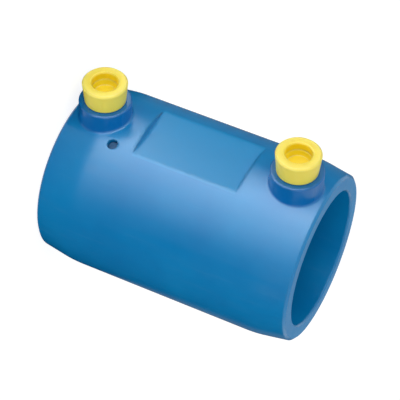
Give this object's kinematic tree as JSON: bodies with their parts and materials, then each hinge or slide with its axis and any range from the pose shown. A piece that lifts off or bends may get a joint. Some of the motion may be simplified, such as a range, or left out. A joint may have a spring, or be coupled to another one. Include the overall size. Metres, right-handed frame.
{
  "type": "electrofusion coupler",
  "caption": "Straight electrofusion pipe coupler: thick blue sleeve with a socket at each end, heating winding inside, side terminals with yellow caps.",
  "frame": {"origin": "on the bore axis, in the plane of the lower end face that the coupler stands on", "axes": "+Z along the bore from the lower mouth to the upper one; the two terminals point along -Y, in the plane X = 0"},
  "size_m": [0.066, 0.0805, 0.098],
  "materials": {
    "body": "injection-moulded polyethylene, soft gloss",
    "cap": "moulded low-density polyethylene, soft gloss",
    "indicator": "moulded polyethylene",
    "winding": "polyethylene-coated resistance wire, laid in turns",
    "pin": "turned and tinned brass"
  },
  "bodies": {
    "coupler": {"coupler_body": "body", "heating_winding": "winding", "terminal_pin_lower": "pin", "terminal_pin_upper": "pin"},
    "lower_cap": {"terminal_cap_lower": "cap"},
    "upper_cap": {"terminal_cap_upper": "cap"},
    "lower_indicator": {"indicator_pin_lower": "indicator"},
    "upper_indicator": {"indicator_pin_upper": "indicator"}
  },
  "joints": [
    {"name": "lower_cap_pull", "type": "slide", "parent": "coupler", "child": "lower_cap", "axis": [0, -1, 0], "range_m": [0, 0.03]},
    {"name": "upper_cap_pull", "type": "slide", "parent": "coupler", "child": "upper_cap", "axis": [0, -1, 0], "range_m": [0, 0.03]},
    {"name": "lower_indicator_rise", "type": "slide", "parent": "coupler", "child": "lower_indicator", "axis": [0.342, -0.9397, 0], "range_m": [0, 0.003]},
    {"name": "upper_indicator_rise", "type": "slide", "parent": "coupler", "child": "upper_indicator", "axis": [-0.342, -0.9397, 0], "range_m": [0, 0.003]}
  ]
}
